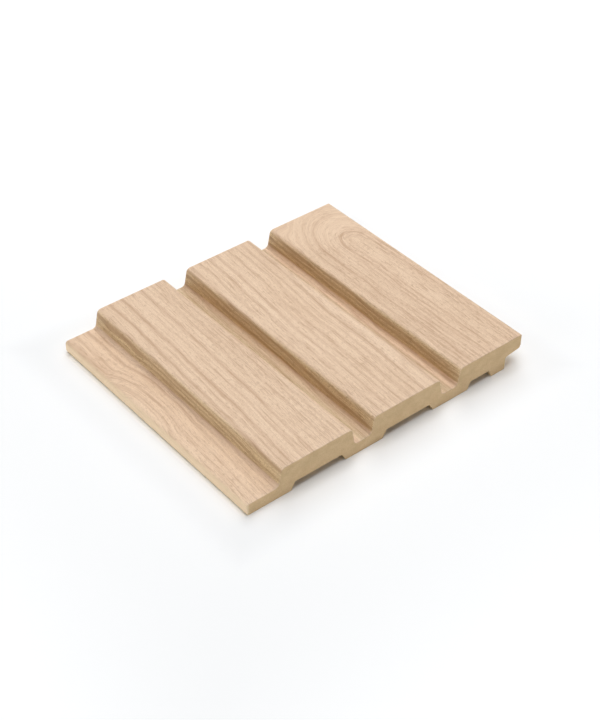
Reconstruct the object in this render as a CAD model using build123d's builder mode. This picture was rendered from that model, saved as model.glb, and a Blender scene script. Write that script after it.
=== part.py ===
from build123d import *
import os
from math import radians, tan

# Fluted wall panel sample: a cut length of fibreboard, milled on both sides,
# with a thin decorative film wrapped over its face and round both lap edges.
# X runs across the panel from the lap flange to the lap lip, Y along the ribs
# and Z out of the face. The back feet stand on Z = 0 and the origin is under
# the middle of the panel. Lengths are in millimetres and angles in degrees.

# Sample
sample_length = 104.0
core_thickness = 11.75  # back feet to the bare rib tops
film_thickness = 0.25
film_hem = 0.9  # bare board left below the film on both lap edges

# Ribs and flutes, measured between the sharp corners of the bare core
rib_count = 3
rib_width = 29.0
flute_width = 10.2
web_thickness = 4.45  # board left under a flute and in the lap flange
wall_draft = 11.0  # lean of the rib walls
crest_radius = 1.45
valley_radius = 1.95

# Lap flange, which slides under the lip of the panel beside it
flange_width = 14.1  # free edge to the first rib's corner
flange_edge_radius = 0.75

# Lap lip, which covers the flange of the panel beside it
lap_width = 7.05  # free edge to the inner wall of the lap
lip_thickness = 5.55  # at the free edge
lap_slope = 8.0  # fall of the lip's underside towards the inner wall
lip_edge_radius = 0.35
lip_toe_radius = 0.8
lap_root_radius = 1.0

# Shallow reliefs in the back, one behind each rib
relief_depth = 3.1
relief_width = 23.0  # across the mouth
relief_inset = 3.8  # rib corner to the mouth's near side
relief_draft = 27.0  # lean of the relief walls
heel_width = 6.3  # foot beside the lap, which cuts the last relief short
foot_radius = 0.5

# Places across the panel
pitch = rib_width + flute_width
core_width = flange_width + rib_count * rib_width + (rib_count - 1) * flute_width
flange_edge = -core_width / 2
lip_edge = core_width / 2
first_rib = flange_edge + flange_width
lap_wall = lip_edge - lap_width

# Heights and wall runs
lip_foot = core_thickness - lip_thickness
lap_ceiling = lip_foot - lap_width * tan(radians(lap_slope))
wall_run = (core_thickness - web_thickness) * tan(radians(wall_draft))
relief_run = relief_depth * tan(radians(relief_draft))


def face_corners():
    """Corners of the milled face as (x, z, radius), from the flange's edge to the lip's edge."""
    corners = [
        (flange_edge, web_thickness, flange_edge_radius),
        (first_rib - wall_run, web_thickness, valley_radius),
        (first_rib, core_thickness, crest_radius),
    ]
    for flute in range(rib_count - 1):
        flute_left = first_rib + rib_width + flute * pitch
        flute_right = flute_left + flute_width
        corners += [
            (flute_left, core_thickness, crest_radius),
            (flute_left + wall_run, web_thickness, valley_radius),
            (flute_right - wall_run, web_thickness, valley_radius),
            (flute_right, core_thickness, crest_radius),
        ]
    corners.append((lip_edge, core_thickness, lip_edge_radius))
    return corners


def back_corners():
    """Corners of the lap and the back as (x, z, radius), from the lip's toe to the flange's foot."""
    corners = [
        (lip_edge, lip_foot, lip_toe_radius),
        (lap_wall, lap_ceiling, lap_root_radius),
        (lap_wall, 0, foot_radius),
    ]
    relief_starts = [first_rib + rib * pitch + relief_inset for rib in range(rib_count)]
    relief_ends = [start + relief_width for start in relief_starts]
    relief_ends[-1] = lap_wall - heel_width
    for start, end in zip(reversed(relief_starts), reversed(relief_ends)):
        corners += [
            (end, 0, foot_radius),
            (end - relief_run, relief_depth, foot_radius),
            (start + relief_run, relief_depth, foot_radius),
            (start, 0, foot_radius),
        ]
    corners.append((flange_edge, 0, foot_radius))
    return corners


def points(corners):
    return [(x, z) for x, z, radius in corners]


def radii(corners):
    return [radius for x, z, radius in corners]


# Fibreboard core
with BuildPart() as mdf_core:
    core_corners = face_corners() + back_corners()
    with BuildSketch(Plane.XZ):
        with BuildLine():
            FilletPolyline(*points(core_corners), radius=radii(core_corners), close=True)
        make_face()
    extrude(amount=sample_length / 2, both=True)

# Decorative film, an even skin over the milled face that ends a hem above each edge's foot
with BuildPart() as decor_film:
    film_start = (flange_edge, film_hem)
    film_end = (lip_edge, lip_foot + film_hem)
    with BuildSketch(Plane.XZ):
        with BuildLine():
            FilletPolyline(film_start, *points(face_corners()), film_end, radius=radii(face_corners()))
            offset(amount=film_thickness, side=Side.LEFT)
        make_face()
    extrude(amount=sample_length / 2, both=True)

os.makedirs("parts", exist_ok=True)

mdf_core.part.label = "mdf_core"
export_step(mdf_core.part, "parts/mdf_core.step")

decor_film.part.label = "decor_film"
export_step(decor_film.part, "parts/decor_film.step")
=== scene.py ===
from bisect import bisect_right
from math import hypot, radians

import bmesh
import bpy
from mathutils import Matrix, Vector


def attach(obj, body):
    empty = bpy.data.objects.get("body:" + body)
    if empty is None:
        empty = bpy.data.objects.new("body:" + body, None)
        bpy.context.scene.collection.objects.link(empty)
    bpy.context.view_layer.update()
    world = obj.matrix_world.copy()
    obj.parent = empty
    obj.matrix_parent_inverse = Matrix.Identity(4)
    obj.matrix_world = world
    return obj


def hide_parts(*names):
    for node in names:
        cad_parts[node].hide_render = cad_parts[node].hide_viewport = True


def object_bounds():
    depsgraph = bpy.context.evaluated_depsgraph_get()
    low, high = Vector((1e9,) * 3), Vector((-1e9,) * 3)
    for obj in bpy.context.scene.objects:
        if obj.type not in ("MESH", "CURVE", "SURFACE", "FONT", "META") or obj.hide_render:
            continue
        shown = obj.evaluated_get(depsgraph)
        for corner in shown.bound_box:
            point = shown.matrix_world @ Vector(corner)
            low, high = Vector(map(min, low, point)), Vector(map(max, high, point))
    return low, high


# Fluted wall panel sample on a white studio floor. The fibreboard core is the
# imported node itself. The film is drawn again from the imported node's section,
# because its grain needs to know how far each point lies along the unrolled film.

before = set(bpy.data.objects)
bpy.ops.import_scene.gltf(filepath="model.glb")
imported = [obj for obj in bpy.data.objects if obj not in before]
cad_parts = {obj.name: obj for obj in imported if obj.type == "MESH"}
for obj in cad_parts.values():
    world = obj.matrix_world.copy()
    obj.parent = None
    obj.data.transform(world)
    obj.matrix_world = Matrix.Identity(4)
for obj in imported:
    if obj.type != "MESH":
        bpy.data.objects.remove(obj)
cad_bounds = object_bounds()
core_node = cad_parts["mdf_core"]
film_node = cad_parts["decor_film"]

MM = 0.001
WHITE = (1.0, 1.0, 1.0, 1.0)
BLACK = (0.0, 0.0, 0.0, 1.0)
panel_low, panel_high = cad_bounds
length_mm = (panel_high.y - panel_low.y) / MM

# Section of the film, in millimetres
same_place = 0.01  # points closer than this lie on one line
hem_reach = 1.0  # how far the film's hem lies from the lip's side at most
flat_step = 2.0
bend_margin = 0.15

smooth_angle = radians(35)  # edges of the film that bend less than this are shaded smooth

# Painted shade on the rib walls, by share of their height: the film's colour there is shifted as if in shade
shade_start = 0.1
shade_rise = 0.12
shade_at_foot = 1.05
shade_fall = 0.3
unshaded_edge = 3.0  # millimetres along each lap edge


def end_section(node):
    """Closed outline of a node's near end as (x, z) in millimetres, in order."""
    mesh = node.data
    near_end = min(v.co.y for v in mesh.vertices)

    def key(index):
        place = mesh.vertices[index].co
        return round(place.x / MM, 4), round(place.z / MM, 4)

    uses = {}
    for face in mesh.polygons:
        if all(mesh.vertices[i].co.y - near_end < 1e-6 for i in face.vertices):
            corners = [key(i) for i in face.vertices]
            for start, end in zip(corners, corners[1:] + corners[:1]):
                edge = frozenset((start, end))
                uses[edge] = uses.get(edge, 0) + 1
    neighbours = {}
    for edge, count in uses.items():
        if count == 1:
            start, end = edge
            neighbours.setdefault(start, []).append(end)
            neighbours.setdefault(end, []).append(start)
    outline = [min(neighbours)]
    previous = None
    while True:
        here = outline[-1]
        following = [p for p in neighbours[here] if p != previous]
        if following[0] == outline[0] and len(outline) > 2:
            return outline
        previous = here
        outline.append(following[0])


def outer_and_inner(outline):
    """The film's outer and inner lines, both from the flange's hem to the lip's hem."""
    lowest = min(z for x, z in outline)
    left_hem = sorted(p for p in outline if p[1] - lowest < same_place)
    widest = max(x for x, z in outline)
    lip_hem = min(z for x, z in outline if widest - x < same_place)
    right_hem = sorted((x, z) for x, z in outline if abs(z - lip_hem) < same_place and widest - x < hem_reach)
    lines = []
    for start, end in ((left_hem[0], right_hem[-1]), (left_hem[-1], right_hem[0])):
        turn = outline.index(start)
        ring = outline[turn:] + outline[:turn]
        blocked = left_hem[-1] if start == left_hem[0] else left_hem[0]
        if ring[1] == blocked:
            ring = ring[:1] + ring[:0:-1]
        lines.append(ring[: ring.index(end) + 1])
    return lines


def arc_lengths(line):
    lengths = [0.0]
    for (x0, z0), (x1, z1) in zip(line, line[1:]):
        lengths.append(lengths[-1] + hypot(x1 - x0, z1 - z0))
    return lengths


def split_flats(line, longest, margin):
    """The line with its long flats cut into steps. A short step beside each bend keeps the flats even."""
    fine = [line[0]]
    for (x0, z0), (x1, z1) in zip(line, line[1:]):
        length = hypot(x1 - x0, z1 - z0)
        if length > 4 * margin:
            steps = max(1, round((length - 2 * margin) / longest))
            shares = [margin / length + (1 - 2 * margin / length) * i / steps for i in range(steps + 1)]
            fine += [(x0 + (x1 - x0) * share, z0 + (z1 - z0) * share) for share in shares]
        fine.append((x1, z1))
    return fine


outer_line, inner_line = outer_and_inner(end_section(film_node))
outer_line = split_flats(outer_line, flat_step, bend_margin)
outer_length = arc_lengths(outer_line)
left_x = outer_line[0][0]


def unrolled(from_left):
    """Millimetres along the unrolled film of a point that many millimetres from the flange's edge."""
    places = [x for x, z in outer_line]
    i = min(max(bisect_right(places, left_x + from_left) - 1, 0), len(places) - 2)
    span = places[i + 1] - places[i]
    share = (left_x + from_left - places[i]) / span if span else 0.0
    return outer_length[i] + share * (outer_length[i + 1] - outer_length[i])


def depth_of_painted_shade(line):
    """How deep the painted shade is along the film's line, from 0 on level faces to 1 at the foot of the rib
    walls.
    """
    top = max(z for x, z in line)
    floor = min(z for x, z in line if abs(x) < -left_x / 2)
    shade_depths = []
    for before, here, after in zip(line[:1] + line[:-1], line, line[1:] + line[-1:]):
        run, rise = abs(after[0] - before[0]), abs(after[1] - before[1])
        height = (here[1] - floor) / (top - floor)
        foot = min(max((height - shade_start) / shade_rise, 0.0), 1.0)
        shade_depth = rise / hypot(run, rise) * foot * (shade_at_foot - shade_fall * height)
        on_lap_edge = min(here[0] - left_x, -left_x - here[0]) < unshaded_edge
        shade_depths.append(0.0 if on_lap_edge else shade_depth)
    return shade_depths


def film_mesh():
    """Thin closed shell along Y. Its attribute holds millimetres across and along the film, and the depth of
    painted shade.
    """
    shell = bmesh.new()
    unroll = shell.verts.layers.float_vector.new("unroll")
    inner_scale = outer_length[-1] / arc_lengths(inner_line)[-1]
    inner_length = [length * inner_scale for length in arc_lengths(inner_line)]
    outer_ring = list(zip(outer_line, outer_length, depth_of_painted_shade(outer_line)))
    inner_ring = list(zip(inner_line, inner_length, depth_of_painted_shade(inner_line)))
    ring = outer_ring + inner_ring[::-1]
    rows = []
    for along in (0.0, length_mm):
        row = []
        for (x, z), across, shade_depth in ring:
            vert = shell.verts.new((x * MM, panel_low.y + along * MM, z * MM))
            vert[unroll] = (across, along, shade_depth)
            row.append(vert)
        rows.append(row)
    near, far = rows
    count = len(ring)
    for i in range(count):
        j = (i + 1) % count
        side = shell.faces.new((near[i], near[j], far[j], far[i]))
        side.smooth = True
    for row in rows:
        shell.faces.new(row)
    bmesh.ops.recalc_face_normals(shell, faces=shell.faces)
    for edge in shell.edges:
        edge.smooth = edge.calc_face_angle(0.0) < smooth_angle
    mesh = bpy.data.meshes.new("oak_film")
    shell.to_mesh(mesh)
    shell.free()
    return mesh


# Material graphs


class Graph:
    """Short calls that add and join the nodes of one material."""

    def __init__(self, name):
        self.material = bpy.data.materials.new(name)
        self.material.use_nodes = True
        self.nodes = self.material.node_tree.nodes
        self.links = self.material.node_tree.links
        self.nodes.clear()

    def put(self, socket, value):
        if isinstance(value, bpy.types.NodeSocket):
            self.links.new(value, socket)
        else:
            socket.default_value = value

    def add(self, kind, inputs=None, **settings):
        node = self.nodes.new(kind)
        for name, value in settings.items():
            setattr(node, name, value)
        for name, value in (inputs or {}).items():
            self.put(node.inputs[name], value)
        return node

    def math(self, operation, first, second=0.0, third=0.0):
        return self.add("ShaderNodeMath", {0: first, 1: second, 2: third}, operation=operation).outputs[0]

    def fit(self, value, low, high, new_low=0.0, new_high=1.0, smooth=False):
        """The value carried from one range to another, held at its ends."""
        node = self.add(
            "ShaderNodeMapRange",
            {"Value": value, "From Min": low, "From Max": high, "To Min": new_low, "To Max": new_high},
            interpolation_type="SMOOTHSTEP" if smooth else "LINEAR",
        )
        return node.outputs["Result"]

    def vector(self, x, y, z=0.0):
        return self.add("ShaderNodeCombineXYZ", {"X": x, "Y": y, "Z": z}).outputs[0]

    def axes(self, place):
        parts = self.add("ShaderNodeSeparateXYZ", {0: place}).outputs
        return parts["X"], parts["Y"], parts["Z"]

    def object_axes(self):
        return self.axes(self.add("ShaderNodeTexCoord").outputs["Object"])

    def dot(self, first, second):
        node = self.add("ShaderNodeVectorMath", {0: first, 1: second}, operation="DOT_PRODUCT")
        return node.outputs["Value"]

    def noise(self, place, detail, roughness):
        inputs = {"Vector": place, "Scale": 1.0, "Detail": detail, "Roughness": roughness}
        return self.add("ShaderNodeTexNoise", inputs).outputs["Fac"]

    def mix(self, share, first, second, blend="MIX"):
        node = self.add("ShaderNodeMix", data_type="RGBA", blend_type=blend)
        colours = [s for s in node.inputs if s.type == "RGBA"]
        self.put(node.inputs[0], share)
        self.put(colours[0], first)
        self.put(colours[1], second)
        return [s for s in node.outputs if s.type == "RGBA"][0]

    def bump(self, height, distance):
        inputs = {"Height": height, "Distance": distance, "Strength": 1.0}
        return self.add("ShaderNodeBump", inputs).outputs[0]

    def surface(self, **inputs):
        names = {name.replace("_", " "): value for name, value in inputs.items()}
        return self.shaded_by(self.add("ShaderNodeBsdfPrincipled", names))

    def shaded_by(self, shader):
        output = self.add("ShaderNodeOutputMaterial")
        self.links.new(shader.outputs[0], output.inputs["Surface"])
        return self.material


def colour(red, green, blue):
    """Linear colour from the usual 0 to 255 values."""

    def linear(value):
        share = value / 255
        return share / 12.92 if share <= 0.04045 else ((share + 0.055) / 1.055) ** 2.4

    return linear(red), linear(green), linear(blue), 1.0


# Oak film

pale_oak = colour(237, 209, 180)
light_oak = colour(242, 215, 187)
last_rib_oak = colour(220, 190, 161)
# Painted shade: a paler, yellower oak that shifts the rib walls towards the warm hue of their shade
painted_shade_wall_oak = colour(250, 226, 188)
# Painted light: a paler oak that brightens the flange's side face
painted_light_flange_oak = colour(248, 223, 186)
thread_brown = colour(211, 178, 149)
streak_brown = colour(201, 166, 137)
dash_brown = colour(189, 153, 124)
pore_brown = colour(180, 144, 115)
dot_brown = colour(203, 170, 140)
# Painted shade: a tint multiplied into the flute floors, which darkens them as if in shade
painted_flute_shade = colour(204, 213, 190)
# Painted shade: a tint multiplied into the rib walls, which darkens and warms them as if in shade
painted_wall_shade = colour(240, 245, 157)

# Main streaks of the film: millimetres from the flange's edge at mid-length, width,
# and strength at the near end, in the middle and at the far end
flange_streaks = [
    (3.6, 1.6, 0.2, 0.5, 0.6),
    (6.7, 1.6, 0.3, 0.6, 0.6),
    (8.6, 1.1, 0.6, 0.2, 0.7),
    (12.0, 1.8, 0.6, 0.85, 0.9),
]
first_wall_streaks = [
    (12.9, 1.5, 0.4, 0.6, 0.5),
    (13.3, 1.3, 0.6, 0.7, 0.3),
    (13.6, 1.4, 0.3, 0.5, 0.9),
    (13.9, 1.2, 0.6, 0.8, 0.3),
]
first_rib_streaks = [
    (16.9, 1.8, 0.9, 1.0, 1.0),
    (19.8, 1.2, 0.6, 0.4, 0.0),
    (22.0, 2.0, 0.8, 1.0, 1.0),
    (26.7, 1.1, 0.6, 0.6, 0.3),
    (28.3, 1.3, 0.5, 0.0, 0.2),
    (30.6, 2.1, 0.6, 0.8, 0.7),
    (35.0, 1.2, 0.0, 0.4, 0.4),
    (37.3, 1.5, 0.4, 0.3, 0.4),
    (40.3, 1.4, 0.3, 0.6, 0.4),
    (42.3, 1.3, 0.5, 0.4, 0.2),
]
first_flute_streaks = [
    (45.4, 1.1, 0.5, 0.6, 0.4),
    (47.2, 1.2, 0.3, 0.5, 0.5),
    (49.4, 1.4, 0.7, 0.7, 0.6),
    (52.25, 1.3, 0.7, 0.8, 0.6),
    (52.6, 1.2, 0.5, 0.3, 0.7),
    (52.95, 1.4, 0.8, 0.7, 0.8),
]
second_rib_streaks = [
    (55.4, 1.3, 0.2, 0.3, 0.5),
    (57.2, 1.2, 0.3, 0.0, 0.2),
    (59.4, 1.6, 0.5, 0.5, 0.6),
    (62.9, 1.8, 0.65, 0.65, 0.65),
    (66.1, 1.4, 0.5, 0.35, 0.2),
    (68.1, 1.6, 0.65, 0.6, 0.5),
    (71.9, 1.6, 0.65, 0.5, 0.5),
    (74.6, 1.5, 0.65, 0.35, 0.6),
    (77.8, 1.8, 0.75, 0.75, 0.65),
    (82.8, 1.5, 0.8, 0.3, 0.2),
]
second_flute_streaks = [
    (84.8, 1.3, 0.3, 0.5, 0.6),
    (86.7, 1.1, 0.3, 0.3, 0.4),
    (88.6, 1.3, 0.7, 0.5, 0.5),
    (90.3, 1.5, 0.7, 0.7, 0.7),
    (91.5, 1.3, 0.7, 0.7, 0.6),
    (91.85, 1.3, 0.5, 0.4, 0.8),
    (92.15, 1.3, 0.6, 0.7, 0.5),
]
third_rib_streaks = [
    (95.5, 1.3, 0.5, 0.5, 0.5),
    (97.2, 1.1, 0.5, 0.0, 0.2),
    (99.0, 1.8, 0.6, 0.4, 0.8),
    (101.2, 1.2, 0.4, 0.3, 0.0),
    (102.7, 1.3, 0.5, 0.0, 0.2),
    (104.6, 1.3, 0.5, 0.2, 0.0),
    (106.3, 1.4, 0.7, 0.5, 0.2),
    (107.9, 1.7, 0.2, 0.6, 0.9),
    (110.1, 1.3, 0.4, 0.4, 0.2),
]
film_streaks = (
    flange_streaks + first_wall_streaks,
    first_rib_streaks,
    first_flute_streaks,
    second_rib_streaks,
    second_flute_streaks,
    third_rib_streaks,
)

# Zones where short dashes crowd together, and the flute floors: place, width and strength
busy_zones = [
    (5.5, 7.0, 0.6),
    (38.5, 14.0, 1.0),
    (48.0, 4.0, 1.0),
    (58.0, 8.0, 0.8),
    (69.0, 11.0, 0.6),
    (77.5, 5.0, 0.8),
    (86.5, 7.0, 0.6),
    (98.5, 10.0, 0.8),
    (109.0, 8.0, 0.6),
]
# Flute floors: painted shade darkens them, and their grain shows more
flute_floors = [(48.5, 8.0, 1.0), (87.7, 8.0, 1.0)]

# Where the streaks' strengths at the near and far end fade, in millimetres along the sample
near_fade = (22.0, 44.0)
far_fade = (62.0, 80.0)

# Where the grain bends: millimetres across the unrolled film or along the sample, and slopes
arch_centre = unrolled(113.4)
arch_start = 78.0
arch_slope = 0.73
oval_centre = unrolled(0.0) - 3.0
oval_middle = 61.0
oval_far_slope = 0.48
oval_far_limit = 9.0
oval_near_slope = 0.25
oval_near_limit = 5.0

band_spread = 0.64  # from a band's middle to where it fades out, by its width
ramp_margin = 2.0
film_relief = 0.05 * MM


def bands(g, place, listed):
    """Soft bands read at a place on the unrolled film, as a colour whose red, green and blue are the
    strengths near, midway and far. A band with one strength has it in all three."""
    first = unrolled(listed[0][0]) - ramp_margin
    last = unrolled(listed[-1][0]) + ramp_margin
    ramp = g.add("ShaderNodeValToRGB", {"Fac": g.fit(place, first, last)})
    stops = ramp.color_ramp.elements
    stops[0].color = stops[1].color = BLACK
    for from_left, width, *strengths in listed:
        middle = unrolled(from_left)
        red, green, blue = (strengths * 3)[:3]
        for step, share in ((-band_spread * width, 0.0), (0.0, 1.0), (band_spread * width, 0.0)):
            stop = stops.new((middle + step - first) / (last - first))
            stop.color = (red * share, green * share, blue * share, 1.0)
    return ramp.outputs["Color"]


class OakFilm(Graph):
    """Pale oak film: rings that bend round an oval and an arch, streaks, dashes, pores and a matt face, with
    painted shade on the rib walls and flute floors and painted light on the flange's side.
    """

    def __init__(self):
        super().__init__("oak_film")
        place = self.add("ShaderNodeAttribute", attribute_name="unroll").outputs["Vector"]
        self.across, self.along, self.shade_depth = self.axes(place)

    def between(self, start, end, at_start=0.0, at_end=1.0, smooth=False):
        """A value that changes from one place to another, both millimetres from the flange's edge."""
        return self.fit(self.across, unrolled(start), unrolled(end), at_start, at_end, smooth)

    def field(self, across_scale, along_scale, shift, detail=1.0, roughness=0.5, over=None, side=0.0):
        """Noise with its own fineness across and along the film, read across it or over its rings."""
        x = self.math("MULTIPLY", self.across if over is None else over, across_scale)
        y = self.math("MULTIPLY_ADD", self.along, along_scale, shift)
        return self.noise(self.vector(x, y, side), detail, roughness)

    def swing(self, value, amount):
        return self.math("MULTIPLY", self.math("SUBTRACT", value, 0.5), amount)

    def radius(self, x, y):
        squares = self.math("ADD", self.math("POWER", x, 2.0), self.math("POWER", y, 2.0))
        return self.math("SQRT", squares)

    def leaning_grain(self):
        """Place across the film once the lean and the slow wander of the grain are taken off."""
        from_middle = self.math("SUBTRACT", self.along, length_mm / 2)
        near_lean = self.between(44.0, 58.0, 0.065, 0.045)
        far_lean = self.between(44.0, 58.0, 0.043, 0.070)
        far_lean = self.math("MULTIPLY", far_lean, self.between(8.0, 16.0))
        lean = self.math("MULTIPLY", self.math("MINIMUM", from_middle, 0.0), near_lean)
        lean = self.math("MULTIPLY_ADD", self.math("MAXIMUM", from_middle, 0.0), far_lean, lean)
        lean = self.math("MULTIPLY", lean, self.between(84.0, 104.0, 1.0, 0.25))
        grain = self.math("SUBTRACT", self.across, lean)
        grain = self.math("ADD", grain, self.swing(self.field(0.05, 0.028, 4.0), 2.6))
        return self.math("ADD", grain, self.swing(self.field(0.3, 0.10, 9.0), 0.6))

    def arch(self, grain):
        """Rings of the arch at the far end of the last rib, which side of it they are on, and its climb."""
        offset = self.math("SUBTRACT", grain, arch_centre)
        climb = self.math("SMOOTH_MAX", self.math("SUBTRACT", self.along, arch_start), 0.0, 4.0)
        climb = self.math("MULTIPLY", climb, arch_slope)
        climb = self.math("MULTIPLY", climb, self.between(91.0, 100.0, smooth=True))
        ring = self.math("SUBTRACT", arch_centre, self.radius(offset, climb))
        side = self.fit(offset, -4.0, 4.0, 0.0, 2.5)
        return ring, side, climb

    def oval(self, grain, ring):
        """The rings pushed aside by the long oval on the flange."""
        offset = self.math("SUBTRACT", grain, oval_centre)
        far = self.math("MULTIPLY", self.math("SUBTRACT", self.along, oval_middle), oval_far_slope)
        near = self.math("MULTIPLY", self.math("SUBTRACT", oval_middle, self.along), oval_near_slope)
        far = self.math("MINIMUM", far, oval_far_limit)
        near = self.math("MINIMUM", near, oval_near_limit)
        climb = self.math("SMOOTH_MAX", far, near, 2.0)
        bulge = self.math("SUBTRACT", self.radius(offset, climb), self.math("ABSOLUTE", offset))
        return self.math("MULTIPLY_ADD", bulge, self.between(12.5, 16.0, 1.0, 0.0), ring)

    def main_streaks(self, ring, side):
        """Main streaks, which fade from each part of the sample into the next."""
        near = self.fit(self.along, *near_fade, 1.0, 0.0, True)
        far = self.fit(self.along, *far_fade, 0.0, 1.0, True)
        middle = self.math("SUBTRACT", self.math("SUBTRACT", 1.0, near), far)
        parts_of_length = self.vector(near, middle, far)
        streaks = 0.0
        for listed in film_streaks:
            streaks = self.math("ADD", streaks, self.dot(bands(self, ring, listed), parts_of_length))
        patches = self.fit(self.field(0.5, 0.06, 2.0, over=ring), 0.3, 0.6, 0.62, 1.0)
        streaks = self.math("MULTIPLY", streaks, patches)
        return self.math("MULTIPLY", streaks, self.fit(side, 1.2, 2.5, 1.0, 0.6))

    def finished(self):
        grain = self.leaning_grain()
        ring, side, arch_climb = self.arch(grain)
        ring = self.oval(grain, ring)
        streaks = self.main_streaks(ring, side)
        busy = bands(self, ring, busy_zones)
        flutes = bands(self, self.across, flute_floors)
        last_rib = self.between(84.0, 98.0)

        # Dashes crowd together on the streaks and in the busy zones
        strokes = self.field(2.5, 0.11, 12.0, over=ring, side=side)
        strokes = self.math("MULTIPLY_ADD", streaks, 0.15, self.math("MULTIPLY_ADD", busy, 0.07, strokes))
        dashes = self.fit(strokes, 0.58, 0.74, smooth=True)
        specks = self.math("MULTIPLY_ADD", busy, 0.04, self.field(4.6, 0.55, 3.0, over=ring, side=side))
        pores = self.fit(specks, 0.56, 0.70, smooth=True)
        threads = self.field(1.5, 0.04, 1.0, 3.0, 0.75, ring, side)
        slow = self.field(0.07, 0.012, 6.0, over=ring)
        dots = self.field(2.8, 2.2, 7.0)

        # Grain shows more on the walls, in the flutes and on the last rib, and less round the arch
        strength = self.math("MULTIPLY_ADD", last_rib, 0.25, self.fit(self.shade_depth, 0.3, 1.0, 1.1, 2.6))
        strength = self.math("MULTIPLY_ADD", flutes, 0.3, strength)
        strength = self.math("MULTIPLY", strength, self.fit(arch_climb, 2.0, 9.0, 1.0, 0.5))

        # Colour
        face = self.mix(self.fit(slow, 0.3, 0.7), pale_oak, light_oak)
        face = self.mix(self.math("MULTIPLY", last_rib, 0.12), face, last_rib_oak)
        # Painted shade: the rib walls shift to the paler, yellower wall oak by their shade depth
        face = self.mix(self.fit(self.shade_depth, 0.3, 0.8, 0.0, 0.6), face, painted_shade_wall_oak)
        layers = (
            (self.fit(threads, 0.46, 0.70), 0.55, thread_brown),
            (streaks, 0.74, streak_brown),
            (dashes, 0.42, dash_brown),
            (pores, 0.38, pore_brown),
            (self.fit(dots, 0.38, 0.66), 0.28, dot_brown),
        )
        for share, most, tint in layers:
            share = self.math("MULTIPLY", self.math("MULTIPLY", share, most), strength)
            face = self.mix(share, face, tint)
        # Painted shade: the flute floors are darkened by a multiplied tint
        face = self.mix(self.math("MULTIPLY", flutes, 0.45), face, painted_flute_shade, "MULTIPLY")
        # Painted shade: the rib walls are darkened and warmed by a multiplied tint
        face = self.mix(self.fit(self.shade_depth, 0.45, 1.0, 0.0, 0.3), face, painted_wall_shade, "MULTIPLY")
        # Painted light: the flange's side face is made paler
        face = self.mix(self.fit(self.across, 3.0, 4.2, 0.7, 0.0), face, painted_light_flange_oak)

        # Sheen and relief
        rough = self.fit(threads, 0.3, 0.7, 0.52, 0.62)
        hollows = self.math("MAXIMUM", pores, dashes)
        height = self.math("SUBTRACT", self.math("MULTIPLY", threads, 0.4), hollows)
        relief = self.bump(height, film_relief)
        return self.surface(Base_Color=face, Roughness=rough, Specular_IOR_Level=0.3, Normal=relief)


# Fibreboard

pale_board = colour(215, 186, 144)
light_board = colour(225, 197, 156)
dark_fibre = colour(190, 165, 122)
light_fibre = colour(236, 216, 178)
# Painted light: a paler board colour for the strip along the flange's edge, over the shade at its foot
painted_light_flange_board = colour(250, 232, 200)
board_relief = 0.09 * MM


def fibreboard():
    """Bare fibreboard: matted fine fibre in flat layers, with a paler strip of painted light along the
    flange's edge, which lightens the shade at the flange's foot and brings the bare hem near the film's
    colour.
    """
    g = Graph("fibreboard")
    x, y, z = (g.math("DIVIDE", axis, MM) for axis in g.object_axes())

    def matted(level_scale, upright_scale, detail, roughness):
        scales = ((x, level_scale), (y, level_scale), (z, upright_scale))
        place = g.vector(*(g.math("MULTIPLY", axis, scale) for axis, scale in scales))
        return g.noise(place, detail, roughness)

    fibre = matted(1.5, 2.2, 4.0, 0.7)
    clumps = matted(0.30, 0.45, 2.0, 0.5)
    board = g.mix(g.fit(clumps, 0.3, 0.7), pale_board, light_board)
    board = g.mix(g.fit(fibre, 0.48, 0.75, 0.0, 0.5), board, dark_fibre)
    board = g.mix(g.fit(fibre, 0.42, 0.25, 0.0, 0.45), board, light_fibre)
    # Painted light: the strip along the flange's edge is made paler
    board = g.mix(g.fit(x, left_x + 0.3, left_x + 1.2, 0.8, 0.0), board, painted_light_flange_board)
    rough = g.fit(fibre, 0.3, 0.7, 0.78, 0.92)
    relief = g.bump(fibre, board_relief)
    return g.surface(Base_Color=board, Roughness=rough, Specular_IOR_Level=0.2, Normal=relief)


# Studio floor, with distances in metres

floor_half = 3.0
floor_drop = 0.00002
floor_tint = (0.935, 0.945, 0.955, 1.0)  # as the camera sees it
floor_bounce = (1.25, 1.25, 1.25, 1.0)  # as it throws light back on the panel


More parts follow.
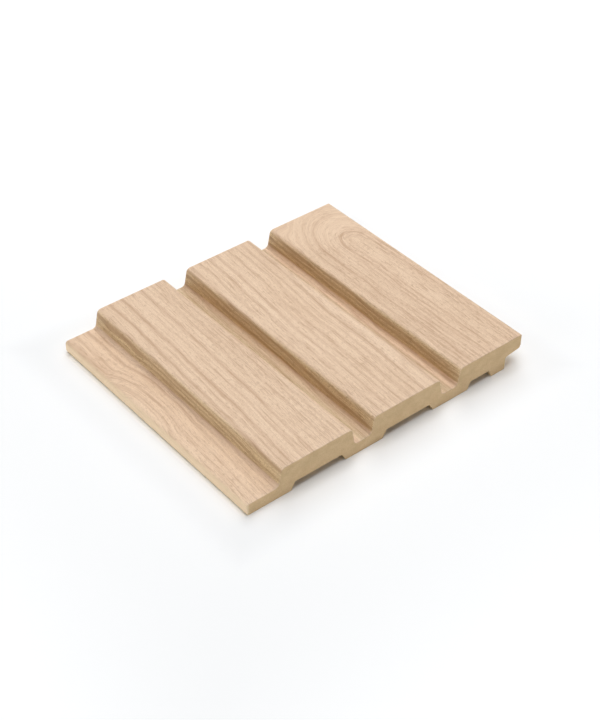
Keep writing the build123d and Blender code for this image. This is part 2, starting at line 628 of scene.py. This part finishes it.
def studio_floor():
    """White floor that keeps its shadow, save a strip of painted light along the flange's edge. It is lifted
    for the camera so that open floor renders white.
    """
    g = Graph("studio_floor")
    rays = g.add("ShaderNodeLightPath").outputs
    mirrored = g.math("MAXIMUM", rays["Is Glossy Ray"], rays["Is Transmission Ray"])
    seen = g.math("MAXIMUM", rays["Is Camera Ray"], mirrored)
    x, y = g.object_axes()[:2]

    # Lift, which grows with the distance from the panel, and a little along the flange's edge, where it is
    # painted light that lightens the contact shadow
    beside = g.math("SUBTRACT", g.math("ABSOLUTE", x), panel_high.x)
    before = g.math("SUBTRACT", g.math("ABSOLUTE", y), panel_high.y)
    clear = g.math("MAXIMUM", beside, before)
    near_lift = g.fit(clear, 0.007, 0.02, 0.0, 0.06, True)
    far_lift = g.fit(clear, 0.02, 0.42, 0.0, 1.0, True)
    lift = g.math("ADD", near_lift, far_lift)
    left = g.math("SUBTRACT", panel_low.x, x)
    # Painted light: a narrow strip of floor along the flange's edge is lifted over its contact shadow
    painted_light_beside_flange = g.math("MULTIPLY", g.fit(left, -0.0006, 0.0), g.fit(left, 0.002, 0.0))
    painted_light_beside_flange = g.math("MULTIPLY", painted_light_beside_flange, g.fit(before, 0.0, -0.004))
    lift = g.math("MULTIPLY_ADD", painted_light_beside_flange, 0.12, lift)
    lift = g.math("MULTIPLY", seen, lift)

    matt = g.add("ShaderNodeBsdfDiffuse", {"Color": g.mix(seen, floor_bounce, floor_tint)})
    glow = g.add("ShaderNodeEmission", {"Color": WHITE, "Strength": lift})
    return g.shaded_by(g.add("ShaderNodeAddShader", {0: matt.outputs[0], 1: glow.outputs[0]}))


def show(name, mesh, material):
    piece = bpy.data.objects.new(name, mesh)
    bpy.context.scene.collection.objects.link(piece)
    mesh.materials.clear()
    mesh.materials.append(material)
    return piece


# The object

film = show("oak_film", film_mesh(), OakFilm().finished())
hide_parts("decor_film")
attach(film, "root")

core_material = fibreboard()
for slot in core_node.material_slots:
    slot.link = "OBJECT"
    slot.material = core_material

floor_mesh = bpy.data.meshes.new("floor")
floor_corners = [(x * floor_half, y * floor_half, 0) for x, y in ((-1, -1), (1, -1), (1, 1), (-1, 1))]
floor_mesh.from_pydata(floor_corners, [], [(0, 1, 2, 3)])
floor = show("floor", floor_mesh, studio_floor())
floor.location.z = -floor_drop

# Light

scene = bpy.context.scene
scene.view_settings.view_transform = "Standard"
sky_level = 1.0  # as the camera sees it
sky_fill = 0.03  # as it lights the scene


def studio_world():
    """World that is white to the camera and lights the scene only a little."""
    world = bpy.data.worlds.new("studio")
    world.use_nodes = True
    dome = world.node_tree
    dome.nodes.clear()
    rays = dome.nodes.new("ShaderNodeLightPath")
    seen = dome.nodes.new("ShaderNodeMath")
    seen.operation = "MAXIMUM"
    dome.links.new(rays.outputs["Is Camera Ray"], seen.inputs[0])
    dome.links.new(rays.outputs["Is Transmission Ray"], seen.inputs[1])
    level = dome.nodes.new("ShaderNodeMapRange")
    level.inputs["To Min"].default_value = sky_fill
    level.inputs["To Max"].default_value = sky_level
    dome.links.new(seen.outputs[0], level.inputs["Value"])
    sky = dome.nodes.new("ShaderNodeBackground")
    sky.inputs["Color"].default_value = WHITE
    dome.links.new(level.outputs["Result"], sky.inputs["Strength"])
    output = dome.nodes.new("ShaderNodeOutputWorld")
    dome.links.new(sky.outputs[0], output.inputs["Surface"])
    return world


def softbox(name, place, size, power):
    """Square lamp that looks at the panel. Lengths are in metres, power in watts."""
    lamp = bpy.data.lights.new(name, "AREA")
    lamp.shape = "SQUARE"
    lamp.size = size
    lamp.energy = power
    lamp_object = bpy.data.objects.new(name, lamp)
    scene.collection.objects.link(lamp_object)
    lamp_object.location = place
    aim = Vector((0.0, 0.0, 0.0)) - Vector(place)
    lamp_object.rotation_euler = aim.to_track_quat("-Z", "Y").to_euler()


scene.world = studio_world()
softbox("top_softbox", (0.0, 0.0, 0.90), 0.6, 5.25)
softbox("back_right_softbox", (0.41, 0.41, 0.69), 0.6, 3.3)
softbox("left_fill", (-0.87, 0.0, 0.22), 0.4, 1.5)
softbox("front_fill", (0.0, -0.45, 0.78), 0.6, 0.85)

# Camera

camera_place = Vector((-266.50, -322.23, 347.97)) * MM
camera_aim = Vector((-3.81, -8.83, 6.0)) * MM
camera_roll = radians(0.776)
camera_data = bpy.data.cameras.new("camera")
camera_data.lens = 76.70
camera_data.sensor_width = 36.0
camera_data.clip_start = 0.01
camera = bpy.data.objects.new("camera", camera_data)
scene.collection.objects.link(camera)
scene.camera = camera
turn = (camera_aim - camera_place).to_track_quat("-Z", "Y").to_matrix().to_4x4()
camera.matrix_world = Matrix.Translation(camera_place) @ turn @ Matrix.Rotation(camera_roll, 4, "Z")
